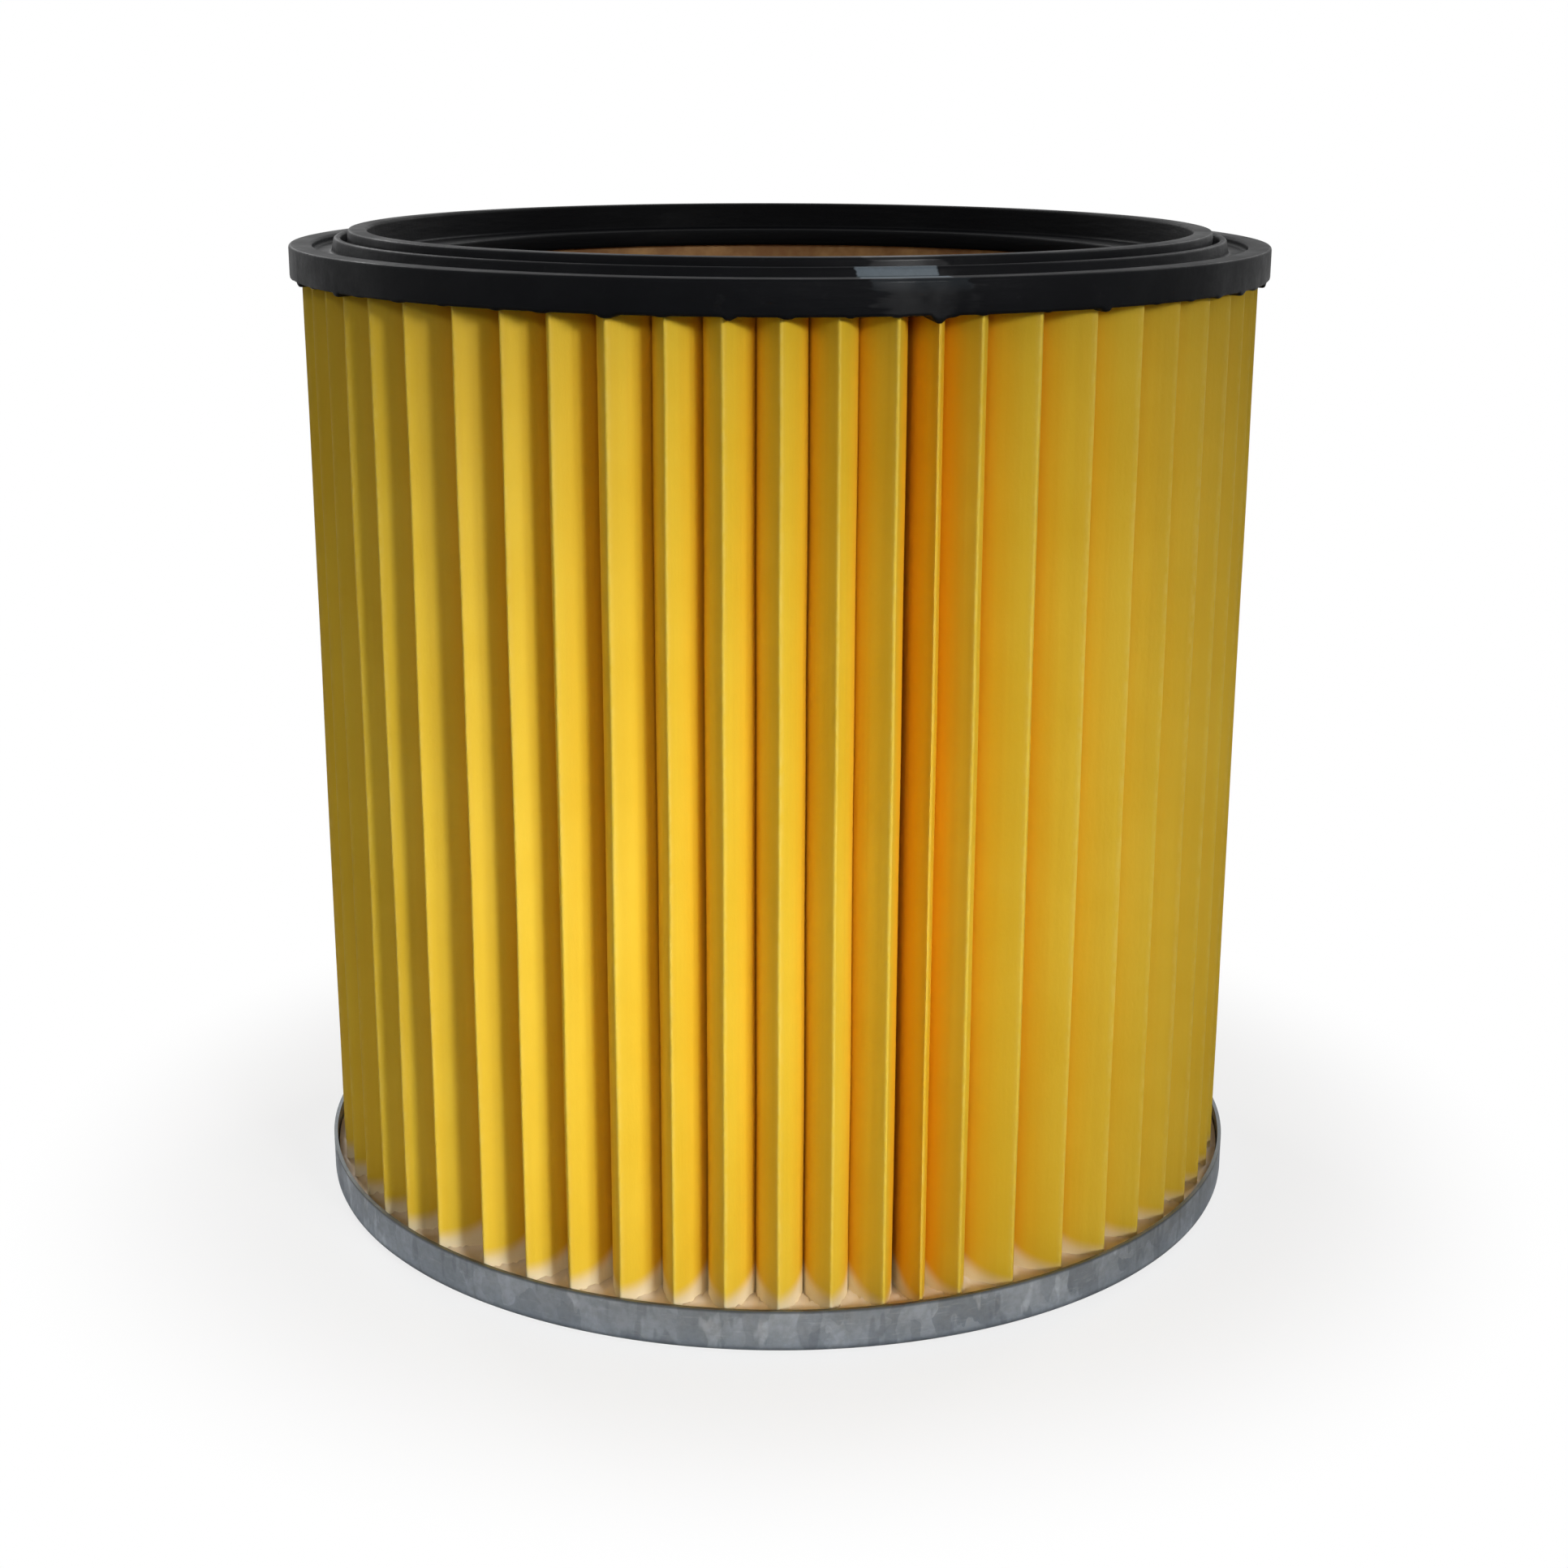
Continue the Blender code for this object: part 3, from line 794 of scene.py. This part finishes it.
def make_seam_bead(material):
    """The glue between the first face and the flap, which shows as a line along the flap's free edge."""
    first, _ = seam_faces()
    run = [point for point in first
           if FOLD_INNER + BEAD_SHORTFALL < point.length < FOLD_OUTER - SEAM_SHORTFALL]
    gap = SHEET_THICKNESS / 2
    outline = shifted(run, gap) + shifted(run, SEAM_STEP - gap)[::-1]
    low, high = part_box("media_seam_glue")
    count = len(outline)
    points = [(*corner, low.z) for corner in outline] + [(*corner, high.z) for corner in outline]
    faces = [tuple(range(count)), tuple(range(2 * count - 1, count - 1, -1))]
    faces += [(number, number + count, (number + 1) % count + count, (number + 1) % count)
              for number in range(count)]
    bead = mesh_object("seam_bead", points, faces)
    clay = bmesh.new()
    clay.from_mesh(bead.data)
    bmesh.ops.recalc_face_normals(clay, faces=clay.faces[:])
    clay.to_mesh(bead.data)
    clay.free()
    finish(bead, material, "media_seam_glue")
    return bead


def fold_distance(azimuth):
    """Degrees from each azimuth to the nearest outer fold, and that fold's number."""
    folds = np.array(fold_azimuths())
    gap = (azimuth - folds[None, :] + 180) % 360 - 180
    nearest = np.abs(gap).argmin(1)
    return gap[np.arange(len(gap)), nearest], nearest


def make_ring(material):
    corners = [
        (FLANGE_EDGE, FLANGE_TOP), (RING_RADIUS, FLANGE_TOP), (RING_RADIUS, RING_BOTTOM),
        (BORE_RADIUS, RING_BOTTOM), (BORE_RADIUS, LEDGE_TOP), (COLLAR_INNER, LEDGE_TOP),
        (COLLAR_INNER, RING_TOP), (COLLAR_OUTER, RING_TOP), (COLLAR_OUTER, MOAT_FLOOR),
        (RIB_INNER, MOAT_FLOOR), (RIB_INNER + RIB_SLOPE, RIB_TOP), (RIB_OUTER - RIB_SLOPE, RIB_TOP),
        (RIB_OUTER, MOAT_FLOOR), (FLANGE_EDGE, MOAT_FLOOR)]
    dice = np.random.default_rng(SEED + 1)
    run = dice.choice(RUN_HANGS, FOLDS) * MM
    width = dice.uniform(*RUN_WIDTHS, FOLDS)
    aside = dice.uniform(-RUN_OFFSET, RUN_OFFSET, FOLDS)

    def creep(radius, height, azimuth):
        """Let the lower outer edge hang down a little at each crest, and further at the tab."""
        gap, nearest = fold_distance(azimuth)
        hang = run[nearest] * np.exp(-((gap - aside[nearest]) / width[nearest]) ** 4)
        tab = TAB_HANG * np.exp(-((azimuth[:, 0] - TAB_AZIMUTH) / TAB_WIDTH) ** 6)
        foot = np.clip(1 - (height - RING_BOTTOM) / RUN_HEIGHT, 0, 1)
        outer = np.clip((radius - (RING_RADIUS - RUN_DEPTH)) / (2 * MM), 0, 1)
        return radius, height - (hang + tab)[:, None] * foot * outer

    ring = turned("seal_ring", rounded(corners, RING_EDGE), RING_COLUMNS, creep)
    finish(ring, material, "top_seal_ring", 40)
    return ring


def make_cap(material):
    rim = CAP_HIGH.x
    inside = rim - CAP_SHEET
    wall = [(rim, CAP_HIGH.z), (rim, 0), (PANEL_RADIUS + PANEL_RISE, 0), (PANEL_RADIUS, PANEL_RISE)]
    slope = [*wall[2:], (0, PANEL_RISE)]
    lining = [
        (0, PANEL_RISE + CAP_SHEET), (PANEL_RADIUS - CAP_SHEET, PANEL_RISE + CAP_SHEET),
        (PANEL_RADIUS + PANEL_RISE - CAP_SHEET, CAP_SHEET), (inside, CAP_SHEET), (inside, CAP_HIGH.z)]
    profile = rounded(wall, CAP_CORNER, 5, closed=False)[:-1]
    profile += rounded(slope, PANEL_CORNER, 3, closed=False)[1:]
    profile += rounded(lining, CAP_CORNER_INSIDE, 4, closed=False)
    cap = turned("cap", profile, CAP_COLUMNS)
    finish(cap, material, "bottom_cap", 40)
    return cap


def make_potting(material):
    top = POTTING_HIGH.z
    outer = POTTING_HIGH.x
    surface = [(RESIN_INNER + (outer - RESIN_INNER) * step / RESIN_STEPS, top)
               for step in range(RESIN_STEPS + 1)]
    corners = [(outer, POTTING_LOW.z + RESIN_CHAMFER), (outer - RESIN_CHAMFER, POTTING_LOW.z),
               (RESIN_INNER, POTTING_LOW.z)]

    def meniscus(radius, height, azimuth):
        """Lower the top to the resin's level and let it climb the sheet's faces."""
        gap, _ = fold_distance(azimuth)
        reach = np.clip((FOLD_OUTER - radius) / BELLY_DEPTH[0], 0, 1)
        face = (1 - (1 - reach) ** BELLY_POWER[0]) * 360 / FOLDS / 2
        apart = np.abs(np.abs(gap)[:, None] - face) * np.radians(1) * radius
        inside = np.clip((radius - FOLD_INNER) / (0.5 * MM), 0, 1)
        climb = RESIN_CLIMB * np.exp(-apart / RESIN_CLIMB_REACH) * inside * np.clip(reach * 5, 0.3, 1)
        at_top = height > top - 0.01 * MM
        return radius, np.where(at_top, height + climb - RESIN_DIP, height)

    potting = turned("potting", surface + corners, RING_COLUMNS, meniscus)
    finish(potting, material, "bottom_potting", 50)
    return potting


def make_core(material):
    core = mesh_object("core_mesh", [], [])
    grow(core, lattice_tree(), {
        "Columns": CORE_COLUMNS, "Rows": CORE_ROWS, "Radius": CORE_HIGH.x - CORE_SETBACK,
        "Bottom": CORE_LOW.z, "Top": CORE_HIGH.z, "Band": CORE_BAND, "Opening": CORE_OPENING,
        "Lean": CORE_LEAN, "Finish": material})
    shell = core.modifiers.new("Thickness", "SOLIDIFY")
    shell.thickness = CORE_SHEET
    shell.offset = 0
    bake(core)
    core.data.attributes.remove(core.data.attributes["middle"])
    finish(core, material, "support_core")
    return core


# ---------------------------------------------------------------- studio

def make_floor():
    """Pale floor that fades to the white background and keeps the contact shadow."""
    corners = [(-FLOOR_REACH, -FLOOR_REACH), (FLOOR_REACH, -FLOOR_REACH),
               (FLOOR_REACH, FLOOR_REACH), (-FLOOR_REACH, FLOOR_REACH)]
    floor = mesh_object("floor", [(x, y, -FLOOR_DROP) for x, y in corners], [(0, 1, 2, 3)])
    made, web = new_material("studio_floor")
    radius, _, _ = web.polar(web.place())
    paint = web.node("ShaderNodeBsdfDiffuse", None, {"Color": FLOOR_GREY})
    white = web.node("ShaderNodeEmission", None, {"Color": WHITE, "Strength": 1.0})
    rays = web.node("ShaderNodeLightPath")
    near = SHADOW_WHITE + web.smooth(radius, *SHADOW_RADII) * (1 - SHADOW_WHITE)
    far = web.smooth(radius, *MIRRORED_RADII)
    away = web.sum_up("MAXIMUM", near * rays, far * rays.also("Is Glossy Ray"))
    shader = web.node("ShaderNodeMixShader", None, {0: away, 1: paint, 2: white})
    web.node("ShaderNodeOutputMaterial", None, {"Surface": shader})
    floor.data.materials.append(made)


def make_world():
    """White to the camera and in reflections, and only a weak light on the cartridge."""
    world = bpy.data.worlds.new("studio")
    bpy.context.scene.world = world
    world.use_nodes = True
    world.node_tree.nodes.clear()
    web = Web(world.node_tree)
    rays = web.node("ShaderNodeLightPath")
    mirrored = web.sum_up("MAXIMUM", rays.also("Is Glossy Ray"), rays.also("Is Transmission Ray"))
    seen = web.sum_up("MAXIMUM", rays, mirrored)
    strength = WORLD_LEVEL + seen * (1 - WORLD_LEVEL)
    sky = web.node("ShaderNodeBackground", None, {"Color": WHITE, "Strength": strength})
    web.node("ShaderNodeOutputWorld", None, {"Surface": sky})


def make_lamp(name, azimuth, elevation, size, power, aim, spread):
    """A square soft lamp. It faces aim: metres to the left of the axis as the lamp sees it, and height."""
    light = bpy.data.lights.new(name, "AREA")
    light.shape = "SQUARE"
    light.size = size
    light.energy = power
    light.spread = math.radians(spread)
    made = bpy.data.objects.new(name, light)
    bpy.context.scene.collection.objects.link(made)
    level = math.radians(elevation)
    away = point_at(LAMP_DISTANCE * math.cos(level), azimuth).to_3d()
    away.z = LAMP_DISTANCE * math.sin(level)
    target = point_at(aim[0], azimuth - 90).to_3d()
    target.z = aim[1]
    made.location = target + away
    made.rotation_euler = (-away).to_track_quat("-Z", "Y").to_euler()


def make_camera():
    data = bpy.data.cameras.new("camera")
    data.sensor_width = 36
    data.lens = CAMERA_LENS
    data.shift_x = CAMERA_SHIFT
    made = bpy.data.objects.new("camera", data)
    bpy.context.scene.collection.objects.link(made)
    made.location = CAMERA_PLACE
    made.rotation_euler = (math.radians(90 - CAMERA_DIP), math.radians(CAMERA_ROLL), 0)
    bpy.context.scene.camera = made


def make_studio():
    make_floor()
    make_world()
    make_camera()
    for settings in LAMPS:
        make_lamp(*settings)
    bpy.context.scene.view_settings.view_transform = "Standard"


def make_cartridge():
    make_sheet(filter_paper())
    make_seam_bead(seam_glue())
    make_core(core_steel())
    make_potting(potting_resin())
    make_cap(galvanised_steel())
    make_ring(cast_rubber())


make_cartridge()
make_studio()
bpy.context.view_layer.update()
